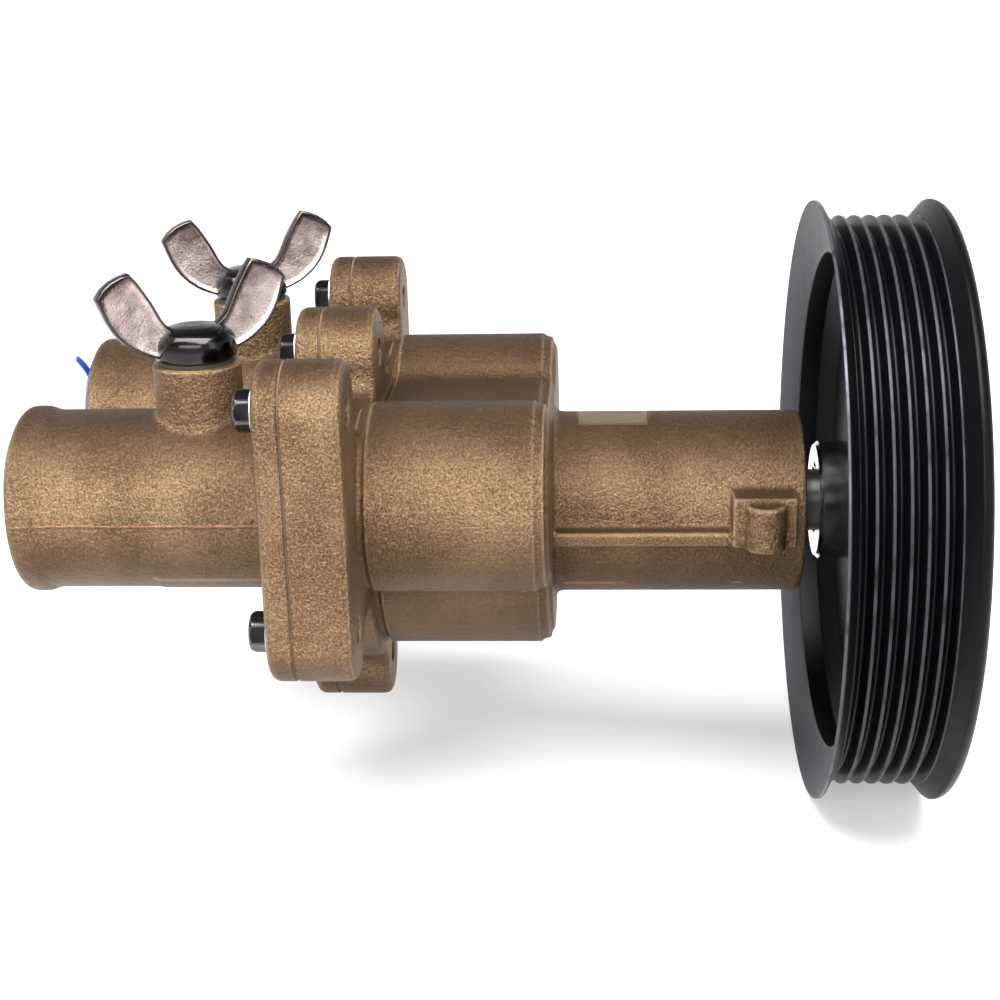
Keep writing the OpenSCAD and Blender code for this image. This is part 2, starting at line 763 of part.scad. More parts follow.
module plug_seal() color("saddlebrown") translate([0, 0, boss_top]) difference() {
    cylinder(h = plug_seal_t, d = plug_seal_d);
    translate([0, 0, -over]) cylinder(h = plug_seal_t + over * 2, r = plug_d / 2 + plug_clear);
}
module plug_seal_front() at_boss(-1) plug_seal();
module plug_seal_back() at_boss(1) plug_seal();

// Shipping caps

module port_cap(side, tab_turn) {
    r = port_r - cap_gap;
    translate([x_mouth, side * port_y, port_z]) {
        along_shaft() rotate_extrude() polygon([
            [0, -cap_rim_t], [cap_rim_d / 2, -cap_rim_t], [cap_rim_d / 2, 0], [r, 0],
            [r, cap_depth], [r - cap_wall, cap_depth], [r - cap_wall, 0], [0, 0]
        ]);
        rotate([tab_turn, 0, 0]) translate([-cap_rim_t, -tab_w / 2, cap_rim_d / 2 - tab_t * 2])
            rotate([0, -tab_lean, 0]) cube([tab_t, tab_w, tab_l]);
    }
}
module port_cap_front() color("teal") port_cap(-1, front_tab_turn);
module port_cap_back() color("royalblue") port_cap(1, back_tab_turn);

// Impeller

module insert_outline() {
    circle(d = insert_d);
    for (a = [0:120:240]) rotate(a)
        box_2d(0, insert_d / 2 + insert_rib_h, -insert_rib_w / 2, insert_rib_w / 2);
}

// A blade from the hub to its bead, straight out or bent over under the cam
module blade(bend) {
    tip_r = blade_bead_d / 2;
    root = [0, impeller_hub_d / 2 - blade_bead_d / 2];
    free = [0, impeller_d / 2 - tip_r];
    low = cam_z - blade_gap - tip_r;
    tip = bend ? [-sqrt(pow(free.y - root.y, 2) - pow(low - root.y, 2)), low] : free;
    side = [-(tip - root).y, (tip - root).x] / norm(tip - root) * blade_t / 2;
    polygon([root - side, root + side, tip + side, tip - side]);
    translate(tip) circle(r = tip_r);
}

module impeller() color([0.12, 0.12, 0.12]) {
    along_shaft(impeller_x_0) linear_extrude(height = impeller_w) difference() {
        union() {
            circle(d = impeller_hub_d);
            for (k = [0:blade_count - 1]) rotate(360 * k / blade_count) blade(k == 0);
        }
        insert_outline();
    }
}

module key_cut(x_0, x_1) {
    translate([x_0, -key_w / 2, key_bottom]) cube([x_1 - x_0, key_w, key_h]);
}

module impeller_insert() color("goldenrod") {
    difference() {
        union() {
            along_shaft(impeller_x_0) linear_extrude(height = impeller_w) insert_outline();
            rod(impeller_x_1 - over, x_retainer_0, insert_d / 2);
        }
        rod(impeller_x_0 - over, x_retainer_0 + over, shaft_r);
        key_cut(impeller_x_0 - over, x_retainer_0 + over);
    }
}

module impeller_key() color("gray") key_cut(x_shaft_0, x_shaft_0 + impeller_key_l);

module wear_plate() color("gold") {
    along_shaft(x_plate_0) linear_extrude(height = wear_plate_t) difference() {
        chamber_outline(wear_plate_gap);
        circle(d = seal_room_d - wear_lip);
    }
}

// Shaft seals

module seal_retainer() color("silver")
    ring(x_retainer_0, x_retainer_1, spring_d / 2 + spring_wire, shaft_r);

module seal_face() color([0.15, 0.15, 0.16])
    ring(x_face_0, x_face_1, seat_d / 2 - cup_wall - face_step, shaft_r + face_gap);

module seal_holder() color("silver") {
    outer = spring_d / 2 + spring_wire;
    inner = shaft_r + bellows_t;
    lip = seat_d / 2 - cup_wall - face_step;
    along_shaft() rotate_extrude() polygon([
        [inner, x_face_0 - holder_t], [outer, x_face_0 - holder_t], [outer, x_face_0 + holder_t],
        [lip, x_face_0 + holder_t], [lip, x_face_0], [inner, x_face_0]
    ]);
}

module seal_bellows() color([0.1, 0.1, 0.1])
    ring(x_retainer_1, x_face_0, shaft_r + bellows_t, shaft_r);

// The seal spring's centre line: one turn per pitch, with its ends clear of both seats
function spring_point(t) =
    [spring_d / 2 * cos(360 * t * spring_turns), spring_d / 2 * sin(360 * t * spring_turns),
     spring_x_0 + (spring_x_1 - spring_x_0) * t];

module seal_spring() color("lightgray") {
    rings = spring_turns * spring_rings;
    sides_n = 6;
    points = [for (i = [0:rings], j = [0:sides_n - 1])
        let (a = 360 * i / spring_rings, b = 360 * j / sides_n, c = spring_point(i / rings))
        c + spring_wire / 2 * (cos(b) * [cos(a), sin(a), 0] + sin(b) * [0, 0, 1])];
    skin = [for (i = [0:rings - 1], j = [0:sides_n - 1])
        let (n = (j + 1) % sides_n, p = i * sides_n, q = p + sides_n)
        each [[p + j, q + n, p + n], [p + j, q + j, q + n]]];
    caps = [for (j = [1:sides_n - 2]) each [
        [0, j, j + 1],
        [rings * sides_n, rings * sides_n + j + 1, rings * sides_n + j]]];
    gap = (spring_x_1 - spring_x_0) / spring_turns - spring_wire;
    echo("least gap between the spring's turns, mm", gap);
    along_shaft() polyhedron(points = points, faces = concat(skin, caps));
}

module seat_cup() color([0.1, 0.1, 0.1]) {
    outer = seat_d / 2;
    bore = shaft_r + partition_clear;
    along_shaft() rotate_extrude() polygon([
        [outer, x_seat_0], [outer, x_part_0], [bore, x_part_0], [bore, x_part_0 - cup_wall],
        [outer - cup_wall, x_part_0 - cup_wall], [outer - cup_wall, x_seat_0]
    ]);
}

module seal_seat() color("white")
    ring(x_seat_0 - seat_proud, x_part_0 - cup_wall, seat_d / 2 - cup_wall, shaft_r + partition_clear);

module slinger() color([0.1, 0.1, 0.1]) {
    mid = x_weep_0 + weep_room / 2;
    half = slinger_t / 2;
    neck = shaft_r + slinger_neck;
    along_shaft() rotate_extrude() polygon([
        [shaft_r, mid - slinger_t], [neck, mid - slinger_t], [neck, mid - half],
        [slinger_d / 2, mid - half], [slinger_d / 2, mid + half], [shaft_r, mid + half]
    ]);
}

module oil_seal() color([0.35, 0.12, 0.08]) {
    along_shaft() rotate_extrude() polygon([
        [lip_seal_d / 2, x_lip_0], [lip_seal_d / 2, x_lip_1], [lip_seal_d / 2 - lip_shell, x_lip_1],
        [lip_seal_d / 2 - lip_shell, x_lip_0 + lip_shell], [shaft_r + lip_shell, x_lip_0 + lip_shell],
        [shaft_r + lip_clear, x_lip_1 - lip_shell], [shaft_r + lip_clear, x_lip_0 + lip_shell],
        [shaft_r + lip_shell, x_lip_0]
    ]);
}

// Ball bearings

module inner_ring(x) color("silver") difference() {
    ring(x, x + bearing_w, pitch_r - ball_d * land_share, shaft_r);
    race(x);
}
module outer_ring(x) color("silver") difference() {
    ring(x, x + bearing_w, bearing_od / 2, pitch_r + ball_d * land_share);
    race(x);
    for (e = [x - over, x + bearing_w - shield_depth])
        ring(e, e + over + shield_depth, shield_r, shaft_r);
}
module race(x) {
    along_shaft(x + bearing_w / 2) rotate_extrude() translate([pitch_r, 0])
        circle(r = ball_d / 2 + ball_clear);
}
module ball_ring(x, r) {
    for (k = [0:ball_count - 1]) translate([x + bearing_w / 2, 0, 0]) rotate([360 * k / ball_count, 0, 0])
        translate([0, pitch_r, 0]) sphere(r = r);
}
module balls(x) color("gainsboro") ball_ring(x, ball_d / 2);
module cage(x) color("darkkhaki") difference() {
    mid = x + bearing_w / 2;
    ring(mid - cage_w / 2, mid + cage_w / 2, pitch_r + cage_t / 2, pitch_r - cage_t / 2);
    for (k = [0:ball_count - 1]) translate([mid, 0, 0]) rotate([360 * k / ball_count, 0, 0])
        rotate([-90, 0, 0]) cylinder(h = bearing_od / 2, r = ball_d / 2 + ball_clear);
}
module shields(x) color("gray") {
    for (e = [x + shield_depth - shield_t, x + bearing_w - shield_depth])
        ring(e, e + shield_t, shield_r, pitch_r - ball_d * land_share + shield_gap);
}

module inboard_inner_ring() inner_ring(x_in_0);
module inboard_outer_ring() outer_ring(x_in_0);
module inboard_balls() balls(x_in_0);
module inboard_cage() cage(x_in_0);
module inboard_shields() shields(x_in_0);
module outboard_inner_ring() inner_ring(x_out_0);
module outboard_outer_ring() outer_ring(x_out_0);
module outboard_balls() balls(x_out_0);
module outboard_cage() cage(x_out_0);
module outboard_shields() shields(x_out_0);

module bearing_spacer() color("silver") ring(x_in_1, x_out_0, shaft_r + spacer_wall, shaft_r);

// An open circlip with a gap at the bottom
module circlip(x_0, x_1, r_out, r_in) color("dimgray") difference() {
    ring(x_0, x_1, r_out, r_in);
    translate([x_0 - over, -circlip_open / 2, -r_out - over])
        cube([x_1 - x_0 + over * 2, circlip_open, r_out]);
}
module housing_circlip() {
    r = bearing_od / 2 + circlip_bite;
    circlip(x_out_1, x_out_1 + circlip_t, r, r - circlip_h);
}
module shaft_circlip() {
    r = shaft_r - circlip_bite;
    circlip(x_in_0 - shaft_clip_t, x_in_0, r + circlip_h, r);
}

// Shaft and pulley

module drive_shaft() color("silver") difference() {
    along_shaft() rotate_extrude() polygon([
        [0, x_shaft_0], [shaft_r - shaft_bevel, x_shaft_0], [shaft_r, x_shaft_0 + shaft_bevel],
        [shaft_r, x_in_0 - shaft_clip_t], [shaft_r - circlip_bite, x_in_0 - shaft_clip_t],
        [shaft_r - circlip_bite, x_in_0], [shaft_r, x_in_0],
        [shaft_r, x_shaft_1 - shaft_bevel], [shaft_r - shaft_bevel, x_shaft_1], [0, x_shaft_1]
    ]);
    key_cut(x_shaft_0 - over, x_shaft_0 + impeller_key_l);
    key_cut(x_key_0, x_shaft_1 + over);
    rod(x_shaft_1 - pulley_bolt_l, x_shaft_1 + over, pulley_bolt_d / 2);
}

module pulley_key() color("gray") key_cut(x_key_0, x_key_0 + pulley_key_l);

module pulley_hub() color("lightgray") difference() {
    along_shaft() rotate_extrude() polygon([
        [shaft_r, x_hub_0 + shaft_bevel], [shaft_r + shaft_bevel, x_hub_0],
        [hub_d / 2 - shaft_bevel, x_hub_0], [hub_d / 2, x_hub_0 + shaft_bevel],
        [hub_d / 2, x_web_1], [hub_collar_d / 2, x_web_1], [hub_collar_d / 2, x_hub_1],
        [shaft_r, x_hub_1]
    ]);
    key_cut(x_hub_0 - over, x_hub_1 + over);
}

module pulley_profile() {
    rim_r = pulley_d / 2;
    rib_r = rim_r - rim_h;
    root_r = rib_r - groove_depth;
    bore_r = pulley_bore_r;
    slope = groove_depth * tan(groove_angle / 2);
    belt_w = groove_count * groove_pitch;
    x_1 = groove_inset + belt_w;
    flare = pulley_w - x_1;
    edge = flare * flare_share;
    polygon([
        [bore_r, rim_bevel], [rim_r, 0], [rim_r, lip_t], [rib_r, groove_inset],
        for (k = [0:groove_count - 1]) each [
            [rib_r, groove_inset + k * groove_pitch + groove_land / 2],
            [root_r, groove_inset + k * groove_pitch + groove_land / 2 + slope],
            [root_r, groove_inset + (k + 1) * groove_pitch - groove_land / 2 - slope],
            [rib_r, groove_inset + (k + 1) * groove_pitch - groove_land / 2]
        ],
        for (a = [0:15:90]) [rim_r - rim_h * cos(a), x_1 + (flare - edge) * (1 - cos(a)) * sin(a)],
        for (a = [90:-15:0]) [rim_r - edge + edge * sin(a), pulley_w - edge + edge * cos(a)],
        [bore_r, pulley_w]
    ]);
}

module pulley() color([0.08, 0.08, 0.09]) along_shaft(x_pulley) rotate_extrude() pulley_profile();

module pulley_web() color([0.08, 0.08, 0.09]) {
    hub_r = hub_d / 2;
    along_shaft(x_web_0) rotate_extrude() polygon([
        [hub_r, 0], [pulley_bore_r - web_fillet, 0], [pulley_bore_r, -web_fillet],
        [pulley_bore_r, web_t + web_fillet], [pulley_bore_r - web_fillet, web_t], [hub_r, web_t]
    ]);
}

module pulley_washer() color("silver")
    ring(x_hub_1, x_hub_1 + pulley_washer_t, pulley_washer_d / 2, pulley_bolt_d / 2);

module pulley_bolt() color("dimgray") translate([x_hub_1 + pulley_washer_t, 0, 0]) mirror([1, 0, 0])
    along_shaft() hex_bolt(pulley_bolt_d, pulley_bolt_l, pulley_bolt_w, pulley_bolt_h);

end_cover();
cover_gasket();
pump_body();
cover_bolts();
bolt_washers();
wing_plug_front();
wing_plug_back();
plug_seal_front();
plug_seal_back();
port_cap_front();
port_cap_back();
wear_plate();
impeller();
impeller_insert();
impeller_key();
seal_retainer();
seal_spring();
seal_bellows();
seal_holder();
seal_face();
seal_seat();
seat_cup();
slinger();
oil_seal();
shaft_circlip();
inboard_inner_ring();
inboard_outer_ring();
inboard_balls();
inboard_cage();
inboard_shields();
bearing_spacer();
outboard_inner_ring();
outboard_outer_ring();
outboard_balls();
outboard_cage();
outboard_shields();
housing_circlip();
drive_shaft();
pulley_key();
pulley_hub();
pulley_web();
pulley();
pulley_washer();
pulley_bolt();
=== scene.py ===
# %% [markdown]
# # A flexible impeller pump with a belt pulley
#
# The pump's bronze castings lie along its shaft: two hose stubs to the left, the chamber of the
# impeller in the middle and the belt pulley to the right. The solid model gives every piece its
# size and place. This script gives each piece its skin: soft cast corners, dished plug wings,
# gloss and wear.

# %% Load the frame
import json
import math

import bmesh
import bpy
import numpy as np
from mathutils import Matrix, Vector

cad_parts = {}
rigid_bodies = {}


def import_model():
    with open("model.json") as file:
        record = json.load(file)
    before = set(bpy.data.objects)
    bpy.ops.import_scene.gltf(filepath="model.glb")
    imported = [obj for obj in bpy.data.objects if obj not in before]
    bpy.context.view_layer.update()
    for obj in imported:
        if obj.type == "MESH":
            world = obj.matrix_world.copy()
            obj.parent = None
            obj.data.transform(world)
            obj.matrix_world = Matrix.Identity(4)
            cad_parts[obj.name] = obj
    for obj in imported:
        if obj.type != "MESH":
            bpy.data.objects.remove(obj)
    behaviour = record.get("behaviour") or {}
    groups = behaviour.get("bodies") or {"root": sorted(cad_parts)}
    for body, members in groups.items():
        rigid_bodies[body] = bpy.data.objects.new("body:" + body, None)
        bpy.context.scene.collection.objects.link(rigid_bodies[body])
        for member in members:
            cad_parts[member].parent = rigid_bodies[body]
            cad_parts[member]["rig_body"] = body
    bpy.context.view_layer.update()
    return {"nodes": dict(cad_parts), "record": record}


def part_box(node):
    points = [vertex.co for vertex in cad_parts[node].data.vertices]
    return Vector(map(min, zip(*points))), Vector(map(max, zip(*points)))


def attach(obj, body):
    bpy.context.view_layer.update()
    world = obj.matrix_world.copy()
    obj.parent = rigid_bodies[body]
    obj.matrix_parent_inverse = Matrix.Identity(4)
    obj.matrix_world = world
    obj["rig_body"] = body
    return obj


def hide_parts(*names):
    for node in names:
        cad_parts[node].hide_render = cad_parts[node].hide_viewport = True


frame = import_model()
nodes = frame["nodes"]
MM = 0.001

# %% [markdown]
# ## Places that the solids give
#
# A new piece has to sit on the real ones, so its places are read from the boxes of the solids and
# not typed in twice. The shaft is the frame's X axis, and Z points up through the drain plugs.

# %% Read the places from the solids
cover_low, cover_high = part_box("end_cover")
body_low, body_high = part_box("pump_body")
pulley_low, pulley_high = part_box("pulley")
plug_seal_low, plug_seal_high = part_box("plug_seal_front")
hose = next(m for m in frame["record"]["mounts"] if m["name"] == "front_hose")

x_mouth = cover_low.x
x_boss = (plug_seal_low.x + plug_seal_high.x) / 2
port_y = -hose["pos_m"][1]
port_z = hose["pos_m"][2]
boss_top = plug_seal_low.z
plug_foot = plug_seal_high.z
x_cover_0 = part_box("bolt_washers")[1].x
x_cover_1 = cover_high.x
x_flange_0 = body_low.x
flat_x = (-23.7 * MM, -7.1 * MM)
floor_z = pulley_low.z

# The castings in millimetres: how high the ground flat lies, and how far beyond the drain bosses
# their turned seats may reach.
FLAT_LEVEL = 21.05
SEAT_REACH = 11

# The pulley in millimetres: the radius of its lip, of its ribs and of the bore inside its rim, and
# the grooves with the flat that is left on top of each rib.
RIM_R = 72
RIB_R = 68.4
GROOVE_DEPTH = 2.9
BORE_R = 59.7
GROOVE_PITCH = 3.56
GROOVES = 6
GROOVE_START = 2.9
BELT_END = GROOVE_START + GROOVES * GROOVE_PITCH
RIB_LAND = 0.75
WIDTH = (pulley_high.x - pulley_low.x) / MM
print("mouth", x_mouth, "boss", x_boss, "port", port_y, "floor", floor_z)

# %% [markdown]
# ## The camera
#
# The photograph is taken from the front, a little above the stubs, with a long lens. The pump is
# tilted towards the lens, which is the same as a camera that looks down at it, so the pump stays
# upright here and the camera's path is turned by the tilt instead.

# %% Place the camera
TILT = math.radians(18.868)
HEADING = math.radians(3.42)
PITCH = math.radians(0.04)
ROLL = math.radians(-0.25)
CAMERA_AT = Vector((-17.40, -408.53, 139.51)) * MM
LENS = 63.157

camera_data = bpy.data.cameras.new("photo_camera")
camera_data.lens = LENS
camera_data.sensor_width = 36
camera_data.clip_start = 0.01
camera = bpy.data.objects.new("photo_camera", camera_data)
turned = (
    Matrix.Rotation(-TILT, 3, "X")
    @ Matrix.Rotation(HEADING, 3, "Z")
    @ Matrix.Rotation(math.radians(90) + PITCH, 3, "X")
    @ Matrix.Rotation(ROLL, 3, "Z")
)
camera.matrix_world = Matrix.Translation(CAMERA_AT) @ turned.to_4x4()
bpy.context.scene.collection.objects.link(camera)
bpy.context.scene.camera = camera
print("camera looks along", turned @ Vector((0, 0, -1)))

# %% [markdown]
# ## Shader maths as expressions
#
# A material's graph is easier to read as sums than as boxes and wires. The class below wraps one
# output socket, and each operator adds the Math node that does it. Everything else comes from one
# method, which takes the node's type, its settings and what goes into its sockets.

# %% One socket that can be added, scaled and compared
class Value:
    """A number that varies over a surface."""

    def __init__(self, graph, socket):
        self.graph, self.socket = graph, socket

    def math(self, operation, *values):
        return self.graph.add("Math", {"operation": operation}, dict(enumerate(values)))

    def __add__(self, other):
        return self.math("ADD", self, other)

    def __sub__(self, other):
        return self.math("SUBTRACT", self, other)

    def __rsub__(self, other):
        return self.math("SUBTRACT", other, self)

    def __mul__(self, other):
        return self.math("MULTIPLY", self, other)

    def __truediv__(self, other):
        return self.math("DIVIDE", self, other)

    def __neg__(self):
        return self * -1

    __radd__ = __add__
    __rmul__ = __mul__

    def above(self, edge, soft=0.1):
        """1 where the value is above edge and 0 below it, with a soft step."""
        settings = {"interpolation_type": "SMOOTHSTEP"}
        return self.graph.add("MapRange", settings, {0: self, 1: edge - soft, 2: edge + soft})

    def below(self, edge, soft=0.1):
        return 1 - self.above(edge, soft)

    def either(self, other):
        return self.math("MAXIMUM", self, other)

    def root(self):
        return self.math("SQRT", self)

    def sine(self):
        return self.math("SINE", self)


class Graph:
    """The node tree of one material. Lengths in it are in millimetres."""

    def __init__(self, name):
        self.material = bpy.data.materials.new(name)
        self.material.use_nodes = True
        self.tree = self.material.node_tree
        self.tree.nodes.clear()
        self.place = self.add(
            "VectorMath", {"operation": "SCALE"},
            {0: self.add("TexCoord", output="Object"), "Scale": 1 / MM},
        )
        split = self.add("SeparateXYZ", {}, {0: self.place})
        outputs = split.socket.node.outputs
        self.x, self.y, self.z = (Value(self, outputs[k]) for k in range(3))

    def add(self, kind, settings=None, inputs=None, output=0):
        """Adds a node: its settings first, then what goes into its sockets."""
        node = self.tree.nodes.new("ShaderNode" + kind)
        for key, value in (settings or {}).items():
            setattr(node, key, value)
        for key, value in (inputs or {}).items():
            if isinstance(value, Value):
                self.tree.links.new(value.socket, node.inputs[key])
            else:
                node.inputs[key].default_value = value
        return Value(self, node.outputs[output]) if node.outputs else None

    def noise(self, size, detail=2.0, roughness=0.5, stretch=(1, 1, 1)):
        """Noise from about 0.3 to 0.7, with features about size millimetres across."""
        place = self.add("VectorMath", {"operation": "MULTIPLY"}, {0: self.place, 1: stretch})
        inputs = {"Vector": place, "Scale": 1 / size, "Detail": detail, "Roughness": roughness}
        return self.add("TexNoise", {}, inputs)

    def blend(self, low, high, share):
        """A colour between two colours."""
        return self.add(
            "Mix", {"data_type": "RGBA"}, {0: share, 6: colour(low), 7: colour(high)}, output=2
        )

    def facing(self, axis):
        """How far the surface faces along X (0), Y (1) or Z (2), from -1 to 1."""
        split = self.add("SeparateXYZ", {}, {0: self.add("TexCoord", output="Normal")})
        return Value(self, split.socket.node.outputs[axis])

    def upward(self):
        return self.facing(2)

    def facing_pump(self):
        """How far the pulley's surface faces back along the shaft, towards the pump."""
        return -self.facing(0)

    def worn(self, edge=0.52, soft=0.02):
        """1 on outer edges, where hands and tools rub."""
        return self.add("NewGeometry", output="Pointiness").above(edge, soft)

    def bump(self, height, strength=1.0):
        """A normal from a height in millimetres."""
        inputs = {"Strength": strength, "Distance": MM, "Height": height}
        return self.add("Bump", {}, inputs)

    def finish(self, inputs, fixed=None):
        """Ends the graph in one shader. What varies goes in inputs, what is even in fixed."""
        shader = self.add("BsdfPrincipled", {}, {**inputs, **(fixed or {})})
        self.add("OutputMaterial", {}, {0: shader})
        return self.material


def colour(value):
    """A colour socket's value from a hex string, a Value or a linear triple."""
    if isinstance(value, Value):
        return value
    if isinstance(value, str):
        shares = [int(value[k:k + 2], 16) / 255 for k in (0, 2, 4)]
        value = [s / 12.92 if s <= 0.04045 else ((s + 0.055) / 1.055) ** 2.4 for s in shares]
    return (*value, 1)


print("colour of the bronze's middle tone", colour("96785a"))

# %% [markdown]
# ## Cast bronze
#
# The castings come from sand moulds and are blasted clean: a warm brown skin with a fine grain of
# darker and lighter specks and pale edges, with painted shade that darkens it where it faces up or
# down. Where a tool has cut the metal it is smooth and yellower, so one material holds both and a
# mask tells them apart by place.

# %% The bronze of the castings
def cast_bronze(name, cut_mask, seam_mask):
    """Blasted bronze, machined where cut_mask(graph) is 1, with the flash line of seam_mask."""
    g = Graph(name)
    broad = g.noise(18, 3)
    grain = g.noise(0.5, 3, 0.7)
    coarse = g.noise(1.5, 3, 0.6)
    away = g.x.below(x_cover_1 / MM - 0.7, 0.2).either(g.x.above(x_flange_0 / MM + 0.7, 0.2))
    skin = g.blend("5a4530", "735c44", broad.above(0.5, 0.16))
    skin = g.blend(skin, "2e2014", (1 - grain.above(0.44, 0.12)) * 0.6)
    skin = g.blend(skin, "a88b6c", grain.above(0.6, 0.12) * 0.45)
    # Painted shade: the skin darkens where it faces up and, less, where it faces down.
    skin = g.blend(skin, "2f2012", g.upward().above(0.7, 0.34) * 0.9)
    skin = g.blend(skin, "3d2b1b", (-g.upward()).above(0.2, 0.35) * 0.5)
    skin = g.blend(skin, "b39678", g.worn(0.52, 0.015) * away * 0.25)
    seam = seam_mask(g)
    skin = g.blend(skin, "6a3f2c", seam * 0.5)
    cut = cut_mask(g)
    turned_metal = g.blend("5f4f33", "806a46", g.noise(0.5, 2, 0.5, (1, 8, 1)))
    tint = g.blend(skin, turned_metal, cut)
    rough = 0.46 + (grain - 0.5) * 0.3 - cut * 0.12
    relief = (grain * 0.55 + coarse * 0.6) * (1 - cut * 0.85) + seam * 0.3
    return g.finish(
        {"Base Color": tint, "Roughness": rough, "Metallic": 0.85, "Normal": g.bump(relief)},
    )


def cover_cuts(g):
    """The seats that are turned on the drain bosses."""
    return g.z.above(boss_top / MM - 0.3, 0.1) * g.x.below(x_boss / MM + SEAT_REACH, 0.2)


def body_cuts(g):
    """The housing's end face and the ground flat on top."""
    end = g.x.above(body_high.x / MM - 0.3, 0.1)
    start, stop = (x / MM for x in flat_x)
    flat = g.z.above(FLAT_LEVEL, 0.1) * g.x.above(start, 0.3) * g.x.below(stop, 0.3)
    return end.either(flat)


def cover_seam(g):
    """The mould's two halves met at the height of the stubs, and a thin flash is left there."""
    line = g.z + (g.noise(5, 2) - 0.5) * 0.8
    middle, half = port_z / MM, 0.3
    flash = line.above(middle - half, 0.2) * line.below(middle + half, 0.2)
    return flash * g.x.below(x_cover_0 / MM - 1, 0.5)


def no_seam(g):
    """0 everywhere, because nothing of the pump is a metre high."""
    return g.z.above(1000)


cover_bronze = cast_bronze("cover_bronze", cover_cuts, cover_seam)
body_bronze = cast_bronze("body_bronze", body_cuts, no_seam)
print("castings", cover_bronze.name, body_bronze.name)

# %% [markdown]
# ## Plain metals, rubber and plastics
#
# The other pieces need the same few things: a colour that drifts a little, a fine surface grain and
# rubbed edges. One function makes them, so each finish is a line with the values of its own metal.

# %% A drifting, grained and worn finish
def drifting(name, low, high, rough, metal=0.0, grain=0.4, relief=0.01, wear=None, fixed=None):
    """A finish that drifts from low to high, with grain and, where wear is given, rubbed edges."""
    g = Graph(name)
    patch = g.noise(6, 3)
    fine = g.noise(grain, 2, 0.6)
    tint = g.blend(low, high, patch.above(0.5, 0.2))
    if wear:
        tint = g.blend(tint, wear, g.worn(0.53, 0.02) * 0.6)
    return g.finish(
        {
            "Base Color": tint,
            "Roughness": rough + (fine - 0.5) * 0.12 + (patch - 0.5) * 0.1,
            "Metallic": metal,
            "Normal": g.bump(fine * relief),
        },
        fixed,
    )


finishes = {
    "gasket_paper": drifting("gasket_paper", "3a2c20", "4a3929", 0.8, grain=0.3, relief=0.05),
    "black_steel": drifting("black_steel", "121214", "222226", 0.28, 0.9, 0.3, 0.015, "6d6a68"),
    "zinc_steel": drifting("zinc_steel", "66686a", "828486", 0.4, 1.0, 0.25, 0.01, "e2e2e2"),
    "dark_nickel": drifting(
        "dark_nickel", "121112", "1f1c1d", 0.22, 1.0, 0.6, 0.02, "4d4745",
        {"Coat Weight": 0.35, "Coat Roughness": 0.12},
    ),
    "seal_rubber": drifting("seal_rubber", "1b1613", "2a231d", 0.6, grain=0.3, relief=0.02),
    "black_rubber": drifting("black_rubber", "101011", "1c1c1e", 0.55, grain=0.3, relief=0.03),
    "teal_plastic": drifting("teal_plastic", "0c5c62", "0e6369", 0.38, grain=0.6, relief=0.01),
    "blue_plastic": drifting("blue_plastic", "0d3a85", "0f4090", 0.38, grain=0.6, relief=0.01),
    "brass": drifting("brass", "a98642", "c7a45a", 0.34, 1.0, 0.3, 0.015, "e2c988"),
    "bright_steel": drifting("bright_steel", "b9babd", "d4d5d8", 0.18, 1.0, 0.25, 0.006),
    "dark_steel": drifting("dark_steel", "0b0b0c", "131315", 0.34, 0.5, 0.25, 0.01, "3c3c3f"),
    "pressed_steel": drifting("pressed_steel", "8f9194", "a7a9ac", 0.32, 1.0, 0.3, 0.015),
    "carbon": drifting("carbon", "1a1a1c", "28282a", 0.3, grain=0.2, relief=0.01),
    "ceramic": drifting("ceramic", "e6e2d8", "f2efe8", 0.25, grain=0.3, relief=0.005),
}
print("finishes", len(finishes))

# %% [markdown]
# ## The pulley's enamel and the hub's turned face
#
# The pulley wears a half matt black enamel with the faint ripple that paint dries with. Its bevel
# towards the pump carries a painted grey reflection, and painted highlights lie as pale metal lines
# on the crests of the ribs and the edge of the lip. The hub is bare steel faced on a lathe, and the
# tool leaves fine rings around the shaft.

# %% Enamel and turned steel
def enamel():
    g = Graph("black_enamel")
    ripple = g.noise(3.5, 2)
    dust = g.noise(0.35, 2).above(0.68, 0.05)
    radius = (g.y * g.y + g.z * g.z).root()
    from_pump = g.x - pulley_low.x / MM
    bevel = radius.above(BORE_R + 0.6, 0.3) * from_pump.below(4, 0.4)
    bevel = bevel * radius.below(RIM_R - 0.2, 0.1) * g.facing_pump().above(0.5, 0.2)
    crest = radius.above(RIB_R - 0.06, 0.04) * radius.below(RIB_R + 0.3, 0.05)
    crest = crest * from_pump.above(GROOVE_START + 0.5, 0.2) * from_pump.below(BELT_END, 0.2)
    lip = radius.above(RIM_R - 0.12, 0.06) * from_pump.below(0.7, 0.1)
    # Painted highlights: pale metal lines on the rib crests and on the lip's edge.
    painted_highlight = (crest * 0.3).either(lip * 0.6) * g.noise(6, 2, 0.5, (1, 1, 1)).above(0.36, 0.2)
    paint = g.blend("030304", "09090c", dust * 0.5 + ripple * 0.3)
    # Painted reflection: the bevel towards the pump is tinted a lilac grey.
    paint = g.blend(paint, "25242d", bevel)
    return g.finish(
        {
            "Base Color": g.blend(paint, "55555c", painted_highlight),
            "Roughness": 0.34 + dust * 0.1 + (ripple - 0.5) * 0.08 + bevel * 0.12 - painted_highlight * 0.06,
            "Metallic": painted_highlight.either(bevel * 0.5),
            "Normal": g.bump(ripple * 0.03 + dust * 0.005),
        },
        {"Specular IOR Level": 0.08},
    )


